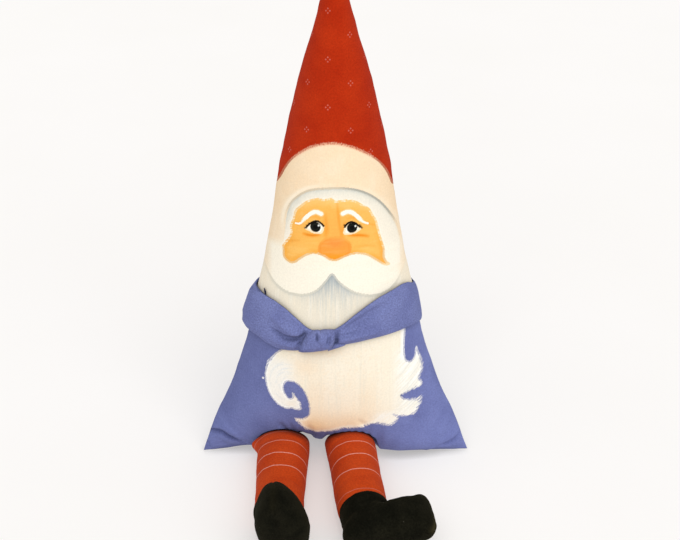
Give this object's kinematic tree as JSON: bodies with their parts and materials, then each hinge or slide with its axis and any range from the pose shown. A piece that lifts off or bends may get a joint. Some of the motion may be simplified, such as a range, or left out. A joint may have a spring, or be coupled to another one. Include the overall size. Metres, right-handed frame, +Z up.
{
  "type": "tomte gnome figurine",
  "caption": "Seated stuffed-cloth tomte doll with a tall pointed hat, painted bearded face, knotted scarf, swinging striped legs and soft boots.",
  "frame": {"origin": "on the floor under the middle of the bottom seam, in the plane of the flat seat", "axes": "+Z up, the doll faces -Y, +X is the doll's own left"},
  "size_m": [0.292, 0.3266, 0.5189],
  "materials": {
    "hat_cotton": "matte",
    "face_cotton": "matte",
    "coat_cotton": "matte",
    "scarf_cotton": "matte",
    "leg_cotton": "matte",
    "boot_velveteen": "matte",
    "stuffing": "matte",
    "bag_cloth": "matte",
    "pellets": "matte",
    "thread": "matte"
  },
  "bodies": {
    "torso": {"hat_front_panel": "hat_cotton", "hat_back_panel": "hat_cotton", "face_panel": "face_cotton", "head_back_panel": "coat_cotton", "coat_front_panel": "coat_cotton", "coat_back_panel": "coat_cotton", "head_stuffing": "stuffing", "body_stuffing": "stuffing", "pellet_bag": "bag_cloth", "pellets": "pellets"},
    "scarf": {"scarf_band": "scarf_cotton", "scarf_knot": "scarf_cotton", "scarf_fold_stitch": "thread"},
    "left_leg": {"left_leg_tube": "leg_cotton", "left_leg_stuffing": "stuffing"},
    "right_leg": {"right_leg_tube": "leg_cotton", "right_leg_stuffing": "stuffing"},
    "left_boot": {"left_boot_inner_side": "boot_velveteen", "left_boot_outer_side": "boot_velveteen", "left_boot_stuffing": "stuffing"},
    "right_boot": {"right_boot_inner_side": "boot_velveteen", "right_boot_outer_side": "boot_velveteen", "right_boot_stuffing": "stuffing"}
  },
  "joints": [
    {"name": "left_hip", "type": "hinge", "parent": "torso", "child": "left_leg", "pos_m": [0.013, -0.003, 0.0015], "axis": [1, 0, 0], "range_deg": [0, 90]},
    {"name": "right_hip", "type": "hinge", "parent": "torso", "child": "right_leg", "pos_m": [-0.0535, -0.003, 0.0015], "axis": [1, 0, 0], "range_deg": [0, 90]},
    {"name": "left_boot_turn", "type": "hinge", "parent": "left_leg", "child": "left_boot", "pos_m": [0.03092, -0.14187, 0.0252], "axis": [-0.1253, 0.9921, 0], "range_deg": [-90, 8]},
    {"name": "right_boot_turn", "type": "hinge", "parent": "right_leg", "child": "right_boot", "pos_m": [-0.0545, -0.143, 0.0252], "axis": [-0.007, -1, 0], "range_deg": [-12, 86]},
    {"name": "scarf_lift_off", "type": "slide", "parent": "torso", "child": "scarf", "axis": [0, 0.2079, 0.9781], "range_m": [0, 0.42]}
  ]
}
